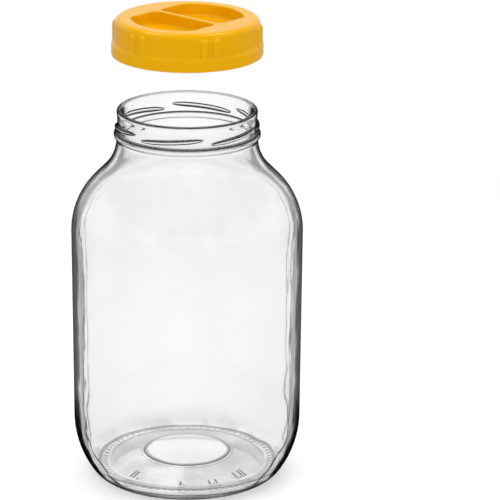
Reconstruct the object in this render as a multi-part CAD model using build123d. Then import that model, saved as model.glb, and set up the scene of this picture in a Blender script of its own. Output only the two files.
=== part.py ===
from build123d import *
from math import acos, atan, atan2, cos, degrees, hypot, radians, sin, tan
import os

# A four-litre glass jar with a screw lid held above its mouth.
# Lengths are in millimetres and angles in degrees. The jar's axis is Z, and it stands on Z = 0.
# The front of the jar faces -Y. An azimuth is counted from the front, towards +X.

# Glass body, outside
JAR_HEIGHT = 267.0
BODY_RADIUS = 81.0            # at the top of the straight wall, where the jar is widest
BODY_DRAFT = 0.34             # the wall leans out by this much as it rises
TOE_RADIUS = 12.65            # the tight bend next to the bearing ring
TOE_TURN = 53.7
HEEL_RADIUS = 64.5            # the wide bend that runs up into the wall
SHOULDER_RADIUS = 52.6
SHOULDER_STRAIGHT = 11.1      # the straight stretch between the two bends of the shoulder
FLARE_RADIUS = 32.1           # the hollow bend that runs into the neck
FINISH_HEIGHT = 20.3          # the mouth, from the foot of its bead up to the rim

# Glass body, inside
WALL = 3.1
TOE_INSIDE_RADIUS = 13.8
TOE_INSIDE_TURN = 65.0
FLOOR_HEIGHT = 9.5            # the lowest ring of the floor, above the table
FLOOR_DOME_HEIGHT = 18.0      # the middle of the floor, above the table

# Push-up under the base
PUSH_UP_HEIGHT = 12.4
PUSH_UP_DISC_RADIUS = 30.0
PUSH_UP_STEP = 1.4
PUSH_UP_STEP_WIDTH = 2.8
PUSH_UP_BULGE = 1.0
BEARING_WIDTH = 3.0

# Mouth
BORE_RADIUS = 45.0
FINISH_WALL = 3.45            # the wall that carries the thread
NECK_PROUD = 0.6              # how far the narrowest part of the neck stands out from that wall
BEAD_PROUD = 2.55
BEAD_HEIGHT = 5.3
RIM_PROUD = 0.35
RIM_BAND_HEIGHT = 4.5
RIM_ROUND = 1.6

# Six-start thread
THREAD_STARTS = 6
RIDGE_PROUD = 1.9             # how far the crest stands out from the wall
RIDGE_TUBE_RADIUS = 1.47
RIDGE_SPAN = 53.0
RIDGE_SLOPE = 4.35
RIDGE_ABOVE_BEAD = 3.9        # the middle of a ridge, above the bead
RIDGE_AZIMUTH = -14.0         # the middle of the front ridge
RIDGE_END_DEPTH = 0.1         # how far a ridge's crest has sunk into the wall at its ends

# Lid
LID_EDGE_RADIUS = 4.5
LID_TOP_THICKNESS = 1.8
BAND_WALL = 1.55
BAND_HEIGHT = 8.8
BAND_EDGE_RADIUS = 1.1
FOOT_EDGE_RADIUS = 0.5
BAND_BORE_DEPTH = 8.0
BAND_BORE_TAPER = 1.2
SKIRT_WALL = 1.4
SKIRT_DRAFT = 0.25
SKIRT_ABOVE_BEAD = 0.45       # closed lid
RIM_CLEARANCE = 0.25
THREAD_CLEARANCE = 0.4
LID_LIFT = 53.5               # from closed to where the lid is held

# Finger wells and the grip bar between them
TOP_RING_WIDTH = 6.9          # the flat ring round the wells
WELL_DEPTH = 8.5
WELL_FLOOR = 1.6
WELL_WALL = 1.6
WELL_CORNER_RADIUS = 6.0
WELL_TOP_ROUND = 1.2
WELL_FLOOR_ROUND = 1.5
WELL_CUT = 10.5               # how far the ends of the bar cut into the round outline
BAR_WIDTH = 4.0
BAR_FLARE_RADIUS = 7.0
BAR_AZIMUTH = 47.0

# Ribs around the skirt, in pairs
RIB_PAIRS = 6
RIB_PAIR_AZIMUTH = 18.0
RIB_SPACING = 9.8
RIB_TUBE_RADIUS = 4.2
RIB_HEIGHT_ABOVE_SKIRT = 1.3
RIB_END_BELOW_TOP = 5.7       # the centre of the rib's round upper end

# Underside of the lid
CHANNEL_LEDGE = 1.6           # supports the liner's edge over the rim
WEB_COUNT = 24
WEB_WIDTH = 1.2
LUG_REACH = 1.45
LUG_HEIGHT = 1.2
LUG_ABOVE_FOOT = 0.4
LUG_SPAN = 5.0

# Liner
LINER_THICKNESS = 1.3
LINER_EDGE_CLEARANCE = 0.2
LINER_PLAY = 0.05

OVERRUN = 1.0                 # how far a cutting tool passes a face

# Derived places
FINISH_RADIUS = BORE_RADIUS + FINISH_WALL
NECK_RADIUS = FINISH_RADIUS + NECK_PROUD
BEAD_RADIUS = FINISH_RADIUS + BEAD_PROUD
RIDGE_RADIUS = FINISH_RADIUS + RIDGE_PROUD
RIM_RADIUS = FINISH_RADIUS + RIM_PROUD
NECK_TOP = JAR_HEIGHT - FINISH_HEIGHT
BEAD_TOP = NECK_TOP + BEAD_HEIGHT
RIDGE_HEIGHT = BEAD_TOP + RIDGE_ABOVE_BEAD
START_PITCH = 360.0 / THREAD_STARTS
CLOSED_HEIGHT = BEAD_TOP + SKIRT_ABOVE_BEAD
LID_FOOT = CLOSED_HEIGHT + LID_LIFT
SEAL_HEIGHT = JAR_HEIGHT + LINER_THICKNESS + LINER_PLAY - CLOSED_HEIGHT
BAND_BORE_RADIUS = RIDGE_RADIUS + THREAD_CLEARANCE
BAND_RADIUS = BAND_BORE_RADIUS + BAND_WALL
SKIRT_BORE_RADIUS = RIM_RADIUS + RIM_CLEARANCE
SKIRT_RADIUS = SKIRT_BORE_RADIUS + SKIRT_WALL
SKIRT_TOP_RADIUS = SKIRT_RADIUS - SKIRT_DRAFT
WELL_RADIUS = SKIRT_TOP_RADIUS - LID_EDGE_RADIUS - TOP_RING_WIDTH
BAR_LENGTH = 2 * (WELL_RADIUS - WELL_CUT)
LID_HEIGHT = SEAL_HEIGHT + WELL_FLOOR + WELL_DEPTH


def at_azimuth(azimuth):
    """A turn about Z that carries what is modelled along +X to an azimuth."""
    return Rot(0, 0, azimuth - 90)


def bend(edges, radius, turn):
    """Adds an arc that leaves the last edge smoothly. A positive turn goes left."""
    edges.append(JernArc(edges[-1] @ 1, edges[-1] % 1, radius, turn))


def side_wall(body, toe, toe_turn, heel, shoulder, flare, neck, bottom):
    """The outline of one side of the glass, from the lowest point of its toe up to the neck."""
    draft = radians(BODY_DRAFT)
    turn = radians(toe_turn)
    # The slope of the shoulder follows from the radii that it has to join.
    inward = neck + flare - (body - shoulder * cos(draft))
    reach = hypot(shoulder + flare, SHOULDER_STRAIGHT)
    slope = acos(inward / reach) - atan2(SHOULDER_STRAIGHT, shoulder + flare)
    rise = (shoulder + flare) * sin(slope) + SHOULDER_STRAIGHT * cos(slope)
    wall_top = NECK_TOP - rise - shoulder * sin(draft)
    wall_bottom = bottom + toe * (1 - cos(turn)) + heel * (cos(turn) - sin(draft))
    wall_bottom_radius = body - (wall_top - wall_bottom) * tan(draft)
    toe_centre = wall_bottom_radius - toe * sin(turn) - heel * (cos(draft) - sin(turn))

    edges = [JernArc((toe_centre, bottom), (1, 0), toe, toe_turn)]
    bend(edges, heel, 90 - BODY_DRAFT - toe_turn)
    edges.append(Line(edges[-1] @ 1, (body, wall_top)))
    slope_turn = degrees(slope)
    bend(edges, shoulder, slope_turn + BODY_DRAFT)
    edges.append(PolarLine(edges[-1] @ 1, SHOULDER_STRAIGHT, direction=edges[-1] % 1))
    bend(edges, flare, -slope_turn)
    return edges, toe_centre


def glass_outline():
    """Half of the jar's cross-section, in radius and height."""
    outside, bearing_radius = side_wall(
        BODY_RADIUS, TOE_RADIUS, TOE_TURN, HEEL_RADIUS,
        SHOULDER_RADIUS, FLARE_RADIUS, NECK_RADIUS, 0)
    inside, floor_radius = side_wall(
        BODY_RADIUS - WALL, TOE_INSIDE_RADIUS, TOE_INSIDE_TURN, HEEL_RADIUS - WALL,
        SHOULDER_RADIUS - WALL, FLARE_RADIUS + NECK_RADIUS - BORE_RADIUS, BORE_RADIUS, FLOOR_HEIGHT)

    step_outer = PUSH_UP_DISC_RADIUS + PUSH_UP_STEP_WIDTH
    step_bottom = PUSH_UP_HEIGHT - PUSH_UP_STEP
    bearing_inner = bearing_radius - BEARING_WIDTH
    under = [
        Line((0, PUSH_UP_HEIGHT), (PUSH_UP_DISC_RADIUS, PUSH_UP_HEIGHT)),
        Line((PUSH_UP_DISC_RADIUS, PUSH_UP_HEIGHT), (step_outer, step_bottom)),
        SagittaArc((step_outer, step_bottom), (bearing_inner, 0), -PUSH_UP_BULGE),
        Line((bearing_inner, 0), (bearing_radius, 0)),
    ]

    rim_foot = JAR_HEIGHT - RIM_BAND_HEIGHT
    crown = JAR_HEIGHT - RIM_ROUND
    finish = [
        ThreePointArc(
            (NECK_RADIUS, NECK_TOP), (BEAD_RADIUS, NECK_TOP + BEAD_HEIGHT / 2), (FINISH_RADIUS, BEAD_TOP)),
        Line((FINISH_RADIUS, BEAD_TOP), (FINISH_RADIUS, rim_foot - RIM_PROUD)),
        Line((FINISH_RADIUS, rim_foot - RIM_PROUD), (RIM_RADIUS, rim_foot)),
        Line((RIM_RADIUS, rim_foot), (RIM_RADIUS, crown)),
        JernArc((RIM_RADIUS, crown), (0, 1), RIM_ROUND, 90),
        Line((RIM_RADIUS - RIM_ROUND, JAR_HEIGHT), (BORE_RADIUS + RIM_ROUND, JAR_HEIGHT)),
        JernArc((BORE_RADIUS + RIM_ROUND, JAR_HEIGHT), (-1, 0), RIM_ROUND, 90),
        Line((BORE_RADIUS, crown), inside[-1] @ 1),
    ]

    # The floor rises from its lowest ring to a shallow dome.
    dome_turn = 2 * atan((FLOOR_DOME_HEIGHT - FLOOR_HEIGHT) / floor_radius)
    dome_radius = floor_radius / sin(dome_turn) - TOE_INSIDE_RADIUS
    dome = JernArc((0, FLOOR_DOME_HEIGHT), (1, 0), dome_radius, -degrees(dome_turn))
    foot = JernArc(dome @ 1, dome % 1, TOE_INSIDE_RADIUS, degrees(dome_turn))
    axis = Line((0, FLOOR_DOME_HEIGHT), (0, PUSH_UP_HEIGHT))
    return make_face(under + outside + finish + inside + [dome, foot, axis])


def thread_ridge():
    """One thread ridge: part of a slim ring that comes out of the wall and sinks into it again."""
    half_span = radians(RIDGE_SPAN / 2)
    end = FINISH_RADIUS - RIDGE_END_DEPTH
    # The crest's circle goes through the crest at mid span and the sunk ends.
    end_out = end * cos(half_span)
    end_across = end * sin(half_span)
    fall = RIDGE_RADIUS - end_out
    crest_radius = (fall ** 2 + end_across ** 2) / (2 * fall)
    centre = RIDGE_RADIUS - crest_radius
    sweep_angle = degrees(2 * atan2(end_across, end_out - centre))
    section = Plane.XZ * Pos(crest_radius - RIDGE_TUBE_RADIUS, 0) * Circle(RIDGE_TUBE_RADIUS)
    ring = revolve(Rot(0, 0, -sweep_angle / 2) * section, Axis.Z, sweep_angle)
    return Rot(RIDGE_SLOPE, 0, 0) * Pos(centre, 0, 0) * ring


def glass_jar():
    jar = revolve(Plane.XZ * glass_outline(), Axis.Z)
    ridge = thread_ridge()
    for start in range(THREAD_STARTS):
        turn = at_azimuth(RIDGE_AZIMUTH + start * START_PITCH)
        jar += Pos(0, 0, RIDGE_HEIGHT) * turn * ridge
    return jar


def lid_outline():
    """Half of the lid's cross-section before the wells and the underside are cut."""
    shoulder = BAND_HEIGHT - BAND_EDGE_RADIUS
    edge_start = LID_HEIGHT - LID_EDGE_RADIUS
    bore_step = BAND_BORE_DEPTH + BAND_BORE_TAPER
    return make_face([
        Line((BAND_BORE_RADIUS, 0), (BAND_RADIUS - FOOT_EDGE_RADIUS, 0)),
        JernArc((BAND_RADIUS - FOOT_EDGE_RADIUS, 0), (1, 0), FOOT_EDGE_RADIUS, 90),
        Line((BAND_RADIUS, FOOT_EDGE_RADIUS), (BAND_RADIUS, shoulder)),
        JernArc((BAND_RADIUS, shoulder), (0, 1), BAND_EDGE_RADIUS, 90),
        Line((BAND_RADIUS - BAND_EDGE_RADIUS, BAND_HEIGHT), (SKIRT_RADIUS, BAND_HEIGHT)),
        Line((SKIRT_RADIUS, BAND_HEIGHT), (SKIRT_TOP_RADIUS, edge_start)),
        JernArc((SKIRT_TOP_RADIUS, edge_start), (0, 1), LID_EDGE_RADIUS, 90),
        Line((SKIRT_TOP_RADIUS - LID_EDGE_RADIUS, LID_HEIGHT), (0, LID_HEIGHT)),
        Line((0, LID_HEIGHT), (0, SEAL_HEIGHT)),
        Line((0, SEAL_HEIGHT), (SKIRT_BORE_RADIUS, SEAL_HEIGHT)),
        Line((SKIRT_BORE_RADIUS, SEAL_HEIGHT), (SKIRT_BORE_RADIUS, bore_step)),
        Line((SKIRT_BORE_RADIUS, bore_step), (BAND_BORE_RADIUS, BAND_BORE_DEPTH)),
        Line((BAND_BORE_RADIUS, BAND_BORE_DEPTH), (BAND_BORE_RADIUS, 0)),
    ])


def recess():
    """The hollow in the lid's top, seen from above: a circle cut short at the ends of the bar."""
    shape = Circle(WELL_RADIUS) & Rectangle(BAR_LENGTH, 2 * WELL_RADIUS)
    return fillet(shape.vertices(), WELL_CORNER_RADIUS)


def finger_wells():
    """The two hollows beside the bar, from their floor up past the lid's top."""
    plan = recess() - Rectangle(BAR_LENGTH, BAR_WIDTH)
    bar_corners = [corner for corner in plan.vertices() if abs(corner.Y) < BAR_WIDTH]
    plan = fillet(bar_corners, BAR_FLARE_RADIUS)
    wells = extrude(plan, WELL_DEPTH + OVERRUN)
    wells = fillet(wells.edges().group_by(Axis.Z)[0], WELL_FLOOR_ROUND)
    return Pos(0, 0, LID_HEIGHT - WELL_DEPTH) * wells


def underside_channel():
    """The hollow under the lid's top ring, crossed by webs that back the liner."""
    plan = Circle(SKIRT_BORE_RADIUS - CHANNEL_LEDGE) - offset(recess(), WELL_WALL)
    for web in range(WEB_COUNT):
        turn = (web + 1 / 2) * 360 / WEB_COUNT
        plan -= Rot(0, 0, turn) * Pos(SKIRT_RADIUS / 2, 0) * Rectangle(SKIRT_RADIUS, WEB_WIDTH)
    depth = LID_HEIGHT - LID_TOP_THICKNESS - SEAL_HEIGHT
    return Pos(0, 0, SEAL_HEIGHT - OVERRUN) * extrude(plan, depth + OVERRUN)


def skirt_ribs():
    """Twelve round-topped ribs, in pairs, each rising from the band."""
    centre = SKIRT_RADIUS + RIB_HEIGHT_ABOVE_SKIRT - RIB_TUBE_RADIUS
    foot = BAND_HEIGHT - BAND_EDGE_RADIUS
    end = LID_HEIGHT - RIB_END_BELOW_TOP
    stem = Pos(centre, 0, foot) * Cylinder(
        RIB_TUBE_RADIUS, end - foot, align=(Align.CENTER, Align.CENTER, Align.MIN))
    rib = stem + Pos(centre, 0, end) * Sphere(RIB_TUBE_RADIUS)
    return [
        at_azimuth(RIB_PAIR_AZIMUTH + pair * 360 / RIB_PAIRS + side * RIB_SPACING / 2) * rib
        for pair in range(RIB_PAIRS) for side in (-1, 1)
    ]


def lugs():
    """Six lugs inside the foot of the lid, which go down between the ridges and turn under them."""
    section = Plane.XZ * Pos(BAND_BORE_RADIUS - LUG_REACH, LUG_ABOVE_FOOT) * Rectangle(
        LUG_REACH + BAND_WALL / 2, LUG_HEIGHT, align=Align.MIN)
    lug = revolve(Rot(0, 0, -LUG_SPAN / 2) * section, Axis.Z, LUG_SPAN)
    gap = RIDGE_AZIMUTH + START_PITCH / 2
    return [at_azimuth(gap + start * START_PITCH) * lug for start in range(THREAD_STARTS)]


def screw_lid():
    lid = revolve(Plane.XZ * lid_outline(), Axis.Z)
    cavity = Cylinder(
        SKIRT_BORE_RADIUS, SEAL_HEIGHT, align=(Align.CENTER, Align.CENTER, Align.MIN))
    ribs = [rib - cavity for rib in skirt_ribs()]
    lid = lid.fuse(*ribs, *lugs())
    lid -= at_azimuth(BAR_AZIMUTH) * finger_wells()
    well_edges = [
        edge for edge in lid.edges().group_by(Axis.Z)[-1]
        if (edge @ (1 / 2)).X ** 2 + (edge @ (1 / 2)).Y ** 2 < (WELL_RADIUS + OVERRUN) ** 2
    ]
    lid = fillet(well_edges, WELL_TOP_ROUND)
    lid -= at_azimuth(BAR_AZIMUTH) * underside_channel()
    return Pos(0, 0, LID_FOOT) * lid


def seal_liner():
    top = LID_FOOT + SEAL_HEIGHT - LINER_PLAY
    disc = Cylinder(
        SKIRT_BORE_RADIUS - LINER_EDGE_CLEARANCE, LINER_THICKNESS,
        align=(Align.CENTER, Align.CENTER, Align.MAX))
    return Pos(0, 0, top) * disc


os.makedirs("parts", exist_ok=True)
export_step(glass_jar(), "parts/glass_jar.step")
export_step(screw_lid(), "parts/screw_lid.step")
export_step(seal_liner(), "parts/seal_liner.step")
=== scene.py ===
# %% [markdown]
# # A four-litre glass jar with its screw lid held above it
#
# Three pieces make the object: a blown glass jar, a moulded yellow lid, and a soft white disc
# inside the lid that seals on the jar's rim. The solids already exist as a measured model, which
# is loaded first and never moved. Everything added here is in metres, with Z up, the jar's axis
# on Z and its front facing -Y.

import math

import bmesh
import bpy
from mathutils import Matrix, Vector, noise


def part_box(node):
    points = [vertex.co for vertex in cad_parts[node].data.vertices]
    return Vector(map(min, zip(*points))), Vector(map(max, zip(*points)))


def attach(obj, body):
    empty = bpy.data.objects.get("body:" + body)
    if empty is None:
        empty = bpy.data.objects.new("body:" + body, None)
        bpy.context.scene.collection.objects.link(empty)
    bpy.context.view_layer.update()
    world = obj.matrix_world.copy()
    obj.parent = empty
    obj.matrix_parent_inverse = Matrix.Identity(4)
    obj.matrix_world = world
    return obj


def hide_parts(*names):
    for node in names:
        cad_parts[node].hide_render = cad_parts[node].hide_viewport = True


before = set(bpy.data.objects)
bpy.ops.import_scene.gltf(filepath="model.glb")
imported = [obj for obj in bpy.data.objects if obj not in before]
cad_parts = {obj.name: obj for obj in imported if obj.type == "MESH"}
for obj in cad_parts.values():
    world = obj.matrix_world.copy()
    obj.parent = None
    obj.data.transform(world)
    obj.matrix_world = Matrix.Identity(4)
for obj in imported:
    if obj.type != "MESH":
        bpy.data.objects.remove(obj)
MM = 0.001
scene = bpy.context.scene
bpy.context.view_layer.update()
jar_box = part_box("glass_jar")
lid_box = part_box("screw_lid")
print("the jar is", round(jar_box[1].z / MM, 1), "mm tall")
print("the lid's top is at", round(lid_box[1].z / MM, 1), "mm")

# %% [markdown]
# ## Camera
#
# A long lens far away keeps the jar's sides nearly parallel, as a catalogue picture does. The
# camera looks down at the jar, so that the mouth and the floor show as ellipses. Its distance and
# tilt could be guessed by eye; here they come from how wide those ellipses look beside their
# known diameters.

# %% Place the camera
CAMERA_DISTANCE = 2.102
CAMERA_HEIGHT = 0.857
LOOK_DOWN = 18.24  # degrees below the horizon
LOOK_RIGHT = 1.20  # degrees; the jar stands left of the picture's middle
ROLL = 0.43  # degrees
FOCAL_PIXELS = 3158  # for a picture 500 pixels wide
PICTURE_WIDTH = 500
SENSOR_WIDTH = 36
CLIP_NEAR, CLIP_FAR = 0.1, 50

camera_data = bpy.data.cameras.new("long_lens")
camera_data.sensor_width = SENSOR_WIDTH
camera_data.lens = FOCAL_PIXELS / PICTURE_WIDTH * SENSOR_WIDTH
camera_data.clip_start = CLIP_NEAR
camera_data.clip_end = CLIP_FAR
camera = bpy.data.objects.new("camera", camera_data)
scene.collection.objects.link(camera)
stand = Matrix.Translation((0, -CAMERA_DISTANCE, CAMERA_HEIGHT))
sideways = Matrix.Rotation(math.radians(-LOOK_RIGHT), 4, "Z")
tilted = sideways @ Matrix.Rotation(math.radians(90 - LOOK_DOWN), 4, "X")
camera.matrix_world = stand @ tilted @ Matrix.Rotation(math.radians(ROLL), 4, "Z")
bpy.context.scene.camera = camera
print("lens", round(camera_data.lens, 1), "mm")

# %% [markdown]
# ## Node helpers
#
# Materials and the world are small networks of nodes. Each node could be added and wired line by
# line, but most of those lines look alike. These helpers add one kind of node each, feed its
# inputs, and hand back what comes out of it.

# %% Make and feed nodes
def new_material(name):
    """A material with an empty node tree."""
    material = bpy.data.materials.new(name)
    material.use_nodes = True
    material.node_tree.nodes.clear()
    return material, material.node_tree


def add_node(tree, kind, settings=None, inputs=None):
    """The outputs of a new node. Each of its inputs is a plain value or another node's output."""
    node = tree.nodes.new("ShaderNode" + kind)
    for setting, value in (settings or {}).items():
        setattr(node, setting, value)
    for name, source in (inputs or {}).items():
        if isinstance(source, bpy.types.NodeSocket):
            tree.links.new(source, node.inputs[name])
        else:
            node.inputs[name].default_value = source
    return node.outputs


print("helpers for nodes are ready")


# %% Values from nodes
NOISE_LOW, NOISE_HIGH = 0.3, 0.7  # most of a noise's values lie between these


def calculate(tree, operation, *sources):
    """The result of a Math node."""
    return add_node(tree, "Math", {"operation": operation}, dict(enumerate(sources)))[0]


def calculate_vector(tree, operation, *sources):
    """The outputs of a Vector Math node."""
    return add_node(tree, "VectorMath", {"operation": operation}, dict(enumerate(sources)))


def remap(tree, source, start, end, low=0.0, high=1.0, smooth=True):
    """Turns a value's way from start to end into the way from low to high."""
    curve = {"interpolation_type": "SMOOTHSTEP" if smooth else "LINEAR"}
    inputs = dict(enumerate((source, start, end, low, high)))
    return add_node(tree, "MapRange", curve, inputs)["Result"]


def choose(tree, share, otherwise, chosen):
    """Mixes two brightness levels by a share from 0 to 1."""
    inputs = {"Factor": share, "A": otherwise, "B": chosen}
    return add_node(tree, "Mix", {"data_type": "FLOAT"}, inputs)["Result"]


print("helpers for values are ready")


# %% Patterns and mixes from nodes
def speckle(tree, place, scale, **values):
    """The value of a noise texture at a place."""
    return add_node(tree, "TexNoise", inputs={"Vector": place, "Scale": scale, **values})[0]


def ramp(tree, source, stops):
    """The grey level or colour that a value gets from the stops of a colour ramp."""
    node = tree.nodes.new("ShaderNodeValToRGB")
    while len(node.color_ramp.elements) < len(stops):
        node.color_ramp.elements.new(0.5)
    for element, (position, level) in zip(node.color_ramp.elements, stops):
        element.position = position
        element.color = (*level, 1) if isinstance(level, tuple) else (level, level, level, 1)
    tree.links.new(source, node.inputs[0])
    return node.outputs[0]


def mix_shaders(tree, share, otherwise, chosen):
    """Mixes two shaders by a share from 0 to 1."""
    return add_node(tree, "MixShader", inputs={0: share, 1: otherwise, 2: chosen})[0]


print("helpers for patterns and mixes are ready")

# %% [markdown]
# ## Studio
#
# The jar stands on a white sweep that has no visible edge. Clear glass only shows what is behind
# and around it, so the surroundings matter more than any lamp. Plain white all round would leave
# glass and gloss with nothing to show. So each kind of ray gets surroundings of its own: white
# for the camera and low down behind the glass, a room for reflections, and a softer light for
# everything else, so that pale surfaces keep their shade.

# %% Room and ceiling
WHITE = 1.0
CEILING_EDGE = 0.38  # sine of the height at which the white ends for a ray that leaves glass
CEILING_DARK = 0.60  # and at which the dark ceiling begins
CEILING_LEVEL = 0.06
SHINE_EDGE = 0.45  # the same three for a reflection
SHINE_DARK = 0.75
SHINE_LEVEL = 0.35
ROOM_DARK, ROOM_LIGHT = 0.05, 0.75  # the room in front of the sweep, in reflections
PATCH_SCALE = 2.4
PATCH_START, PATCH_END = 0.38, 0.62  # the noise values between which a patch turns light
SWEEP_START, SWEEP_END = -0.25, 0.25  # where the room turns into the sweep, front to back
SIDE_REACH = 0.6  # how far to the right the sweep gets darker
SIDE_LEVEL = 0.86

scene.view_settings.view_transform = "Standard"
world = bpy.data.worlds.new("white_studio")
scene.world = world
world.use_nodes = True
tree = world.node_tree
tree.nodes.clear()
direction = add_node(tree, "TexCoord")["Generated"]
split = add_node(tree, "SeparateXYZ", inputs={0: direction})

patches = speckle(tree, direction, PATCH_SCALE, Detail=1)
room = remap(tree, patches, PATCH_START, PATCH_END, ROOM_DARK, ROOM_LIGHT)
behind = remap(tree, split["Y"], SWEEP_START, SWEEP_END)
mirror_view = calculate(
    tree, "MINIMUM", choose(tree, behind, room, WHITE),
    remap(tree, split["Z"], SHINE_EDGE, SHINE_DARK, WHITE, SHINE_LEVEL))
glass_view = calculate(
    tree, "MULTIPLY", remap(tree, split["Z"], CEILING_EDGE, CEILING_DARK, WHITE, CEILING_LEVEL),
    remap(tree, split["X"], 0.0, SIDE_REACH, WHITE, SIDE_LEVEL))
print("the ceiling is", CEILING_LEVEL, "bright for the glass and", SHINE_LEVEL, "for reflections")

# %% [markdown]
# ### Windows
#
# Two bright windows draw the pale streaks on the lid's top edge. Lamps or bright panels would
# show in the glass too. As a part of the surroundings they can be kept for soft reflections
# alone.

# %% Windows
WINDOWS = ((-65, 66), (65, 66))  # bearing from the back and height, in degrees
WINDOW_LEVEL = 12.0
WINDOW_INNER, WINDOW_OUTER = 9, 14  # how far a window reaches from its middle, in degrees

soft_view = mirror_view
for bearing, rise in WINDOWS:
    level_way = Vector((0, math.cos(math.radians(rise)), math.sin(math.radians(rise))))
    window_way = Matrix.Rotation(math.radians(bearing), 3, "Z") @ level_way
    aligned = calculate_vector(tree, "DOT_PRODUCT", direction, window_way)["Value"]
    in_window = remap(
        tree, aligned, math.cos(math.radians(WINDOW_OUTER)), math.cos(math.radians(WINDOW_INNER)))
    soft_view = choose(tree, in_window, soft_view, WINDOW_LEVEL)
print(len(WINDOWS), "windows of level", WINDOW_LEVEL)

# %% [markdown]
# ### Which ray sees what
#
# The Light Path node tells what kind of ray is asking. Each choice below puts one kind on top of
# the ones before it: sharp or soft reflections, rays through glass, light for matt surfaces, and
# at last the camera, which always sees white.

# %% Which ray sees what
SOFT_LIGHT = 0.60  # what matt surfaces receive from all round

ray = add_node(tree, "LightPath")
seen = choose(tree, ray["Is Singular Ray"], soft_view, mirror_view)
seen = choose(tree, ray["Is Glossy Ray"], SOFT_LIGHT, seen)
seen = choose(tree, ray["Is Transmission Ray"], seen, glass_view)
not_yet_matt = calculate(tree, "LESS_THAN", ray["Diffuse Depth"], 0.5)
seen = choose(tree, not_yet_matt, SOFT_LIGHT, seen)
seen = choose(tree, ray["Is Camera Ray"], seen, WHITE)
background = add_node(tree, "Background", inputs={"Color": (1, 1, 1, 1), "Strength": seen})
add_node(tree, "OutputWorld", inputs={"Surface": background[0]})
print("the surroundings have", len(tree.nodes), "nodes")

# %% [markdown]
# ## Sweep
#
# A studio sweep is a sheet of white paper that curves up behind the object. A curved sheet could
# be modelled, but a flat disc does the same here: near the jar it is matt paper with a little
# glow, so that the contact shadow shows, and further out it turns plain white and merges with the
# surroundings. It lies a hair below the jar's foot, because two faces in one plane would flicker.

# %% Floor disc
FLOOR_RADIUS = 6.0
FLOOR_SEGMENTS = 96
FLOOR_GAP = 0.05 * MM


def plain_object(name, mesh):
    """An object that gets a bmesh as its mesh. The bmesh is used up."""
    data = bpy.data.meshes.new(name)
    mesh.to_mesh(data)
    mesh.free()
    made = bpy.data.objects.new(name, data)
    scene.collection.objects.link(made)
    return made


disc = bmesh.new()
bmesh.ops.create_circle(disc, cap_ends=True, radius=FLOOR_RADIUS, segments=FLOOR_SEGMENTS)
bmesh.ops.translate(disc, verts=disc.verts[:], vec=(0, 0, -FLOOR_GAP))
floor = plain_object("floor", disc)
print("floor radius", FLOOR_RADIUS, "m")

# %% Floor paint
SHADOW_RADIUS = 0.75  # the sweep is plain white beyond this distance
FLOOR_ALBEDO = 0.86
FLOOR_GLOW = 0.28
GLASS_GLOW = 0.02  # the same, as the glass sees it
# Seen through the glass, the paper right under the base gets a painted pool of light in the jar's
# own shadow.
UNDER_PAINTED_LIGHT = 0.3  # and as the glass sees it right under the base
UNDER_INNER, UNDER_RADIUS = 63.75 * MM, 85 * MM
FLOOR_FAR = 0.5  # how bright the distant sweep is for lighting and in reflections

floor_paint, tree = new_material("white_sweep")
ray = add_node(tree, "LightPath")
distance = calculate_vector(tree, "LENGTH", add_node(tree, "TexCoord")["Object"])["Value"]

# the painted pool of light under the base, for rays through the glass
under = remap(tree, distance, UNDER_INNER, UNDER_RADIUS, UNDER_PAINTED_LIGHT, GLASS_GLOW)
near_level = choose(tree, ray["Is Transmission Ray"], FLOOR_GLOW, under)
glow = add_node(tree, "Emission", inputs={"Strength": near_level})[0]
paper = add_node(tree, "BsdfDiffuse", inputs={"Color": (FLOOR_ALBEDO,) * 3 + (1,)})[0]
near = add_node(tree, "AddShader", inputs={0: paper, 1: glow})[0]
far_level = choose(tree, ray["Is Transmission Ray"], FLOOR_FAR, WHITE)
far_level = choose(tree, ray["Is Camera Ray"], far_level, WHITE)
far = add_node(tree, "Emission", inputs={"Strength": far_level})[0]
fade = remap(tree, distance, SHADOW_RADIUS / 2, SHADOW_RADIUS)
add_node(tree, "OutputMaterial", inputs={"Surface": mix_shaders(tree, fade, near, far)})
floor.data.materials.append(floor_paint)
print("the sweep is plain white beyond", SHADOW_RADIUS, "m")

# %% [markdown]
# ## Lamps
#
# Three large soft boxes give the lid its gentle shading: a key from the left, a weaker fill from
# the right and one overhead. They could show as bright rectangles in the glass, so they are
# hidden from reflections and refractions.

# %% Lamps
AIM_POINT = Vector((0, 0, 0.2))
LAMPS = {  # where it hangs, how long its sides are, and its power in watts
    "key": ((-1.1, -1.3, 1.7), 1.2, 12),
    "fill": ((1.3, -1.1, 1.2), 1.2, 9),
    "top": ((0.1, 0.5, 1.9), 1.5, 13)}

for name, (spot, side_length, watts) in LAMPS.items():
    light = bpy.data.lights.new(name, "AREA")
    light.shape = "SQUARE"
    light.size = side_length
    light.energy = watts
    lamp = bpy.data.objects.new(name, light)
    lamp.location = spot
    lamp.rotation_euler = (AIM_POINT - Vector(spot)).to_track_quat("-Z", "Y").to_euler()
    lamp.visible_glossy = False
    lamp.visible_transmission = False
    scene.collection.objects.link(lamp)
print("lamps:", ", ".join(LAMPS))

# %% [markdown]
# ## Outline of the jar
#
# A blown jar is round about its axis, so its whole skin, outside and inside, is one outline
# turned once round. The outline could be a list of points; drawing it as straight stretches and
# arcs, each leaving the last one smoothly, keeps it as the mould maker thinks of it. Every
# stretch is made with the bmesh operators extrude and spin.

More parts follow.
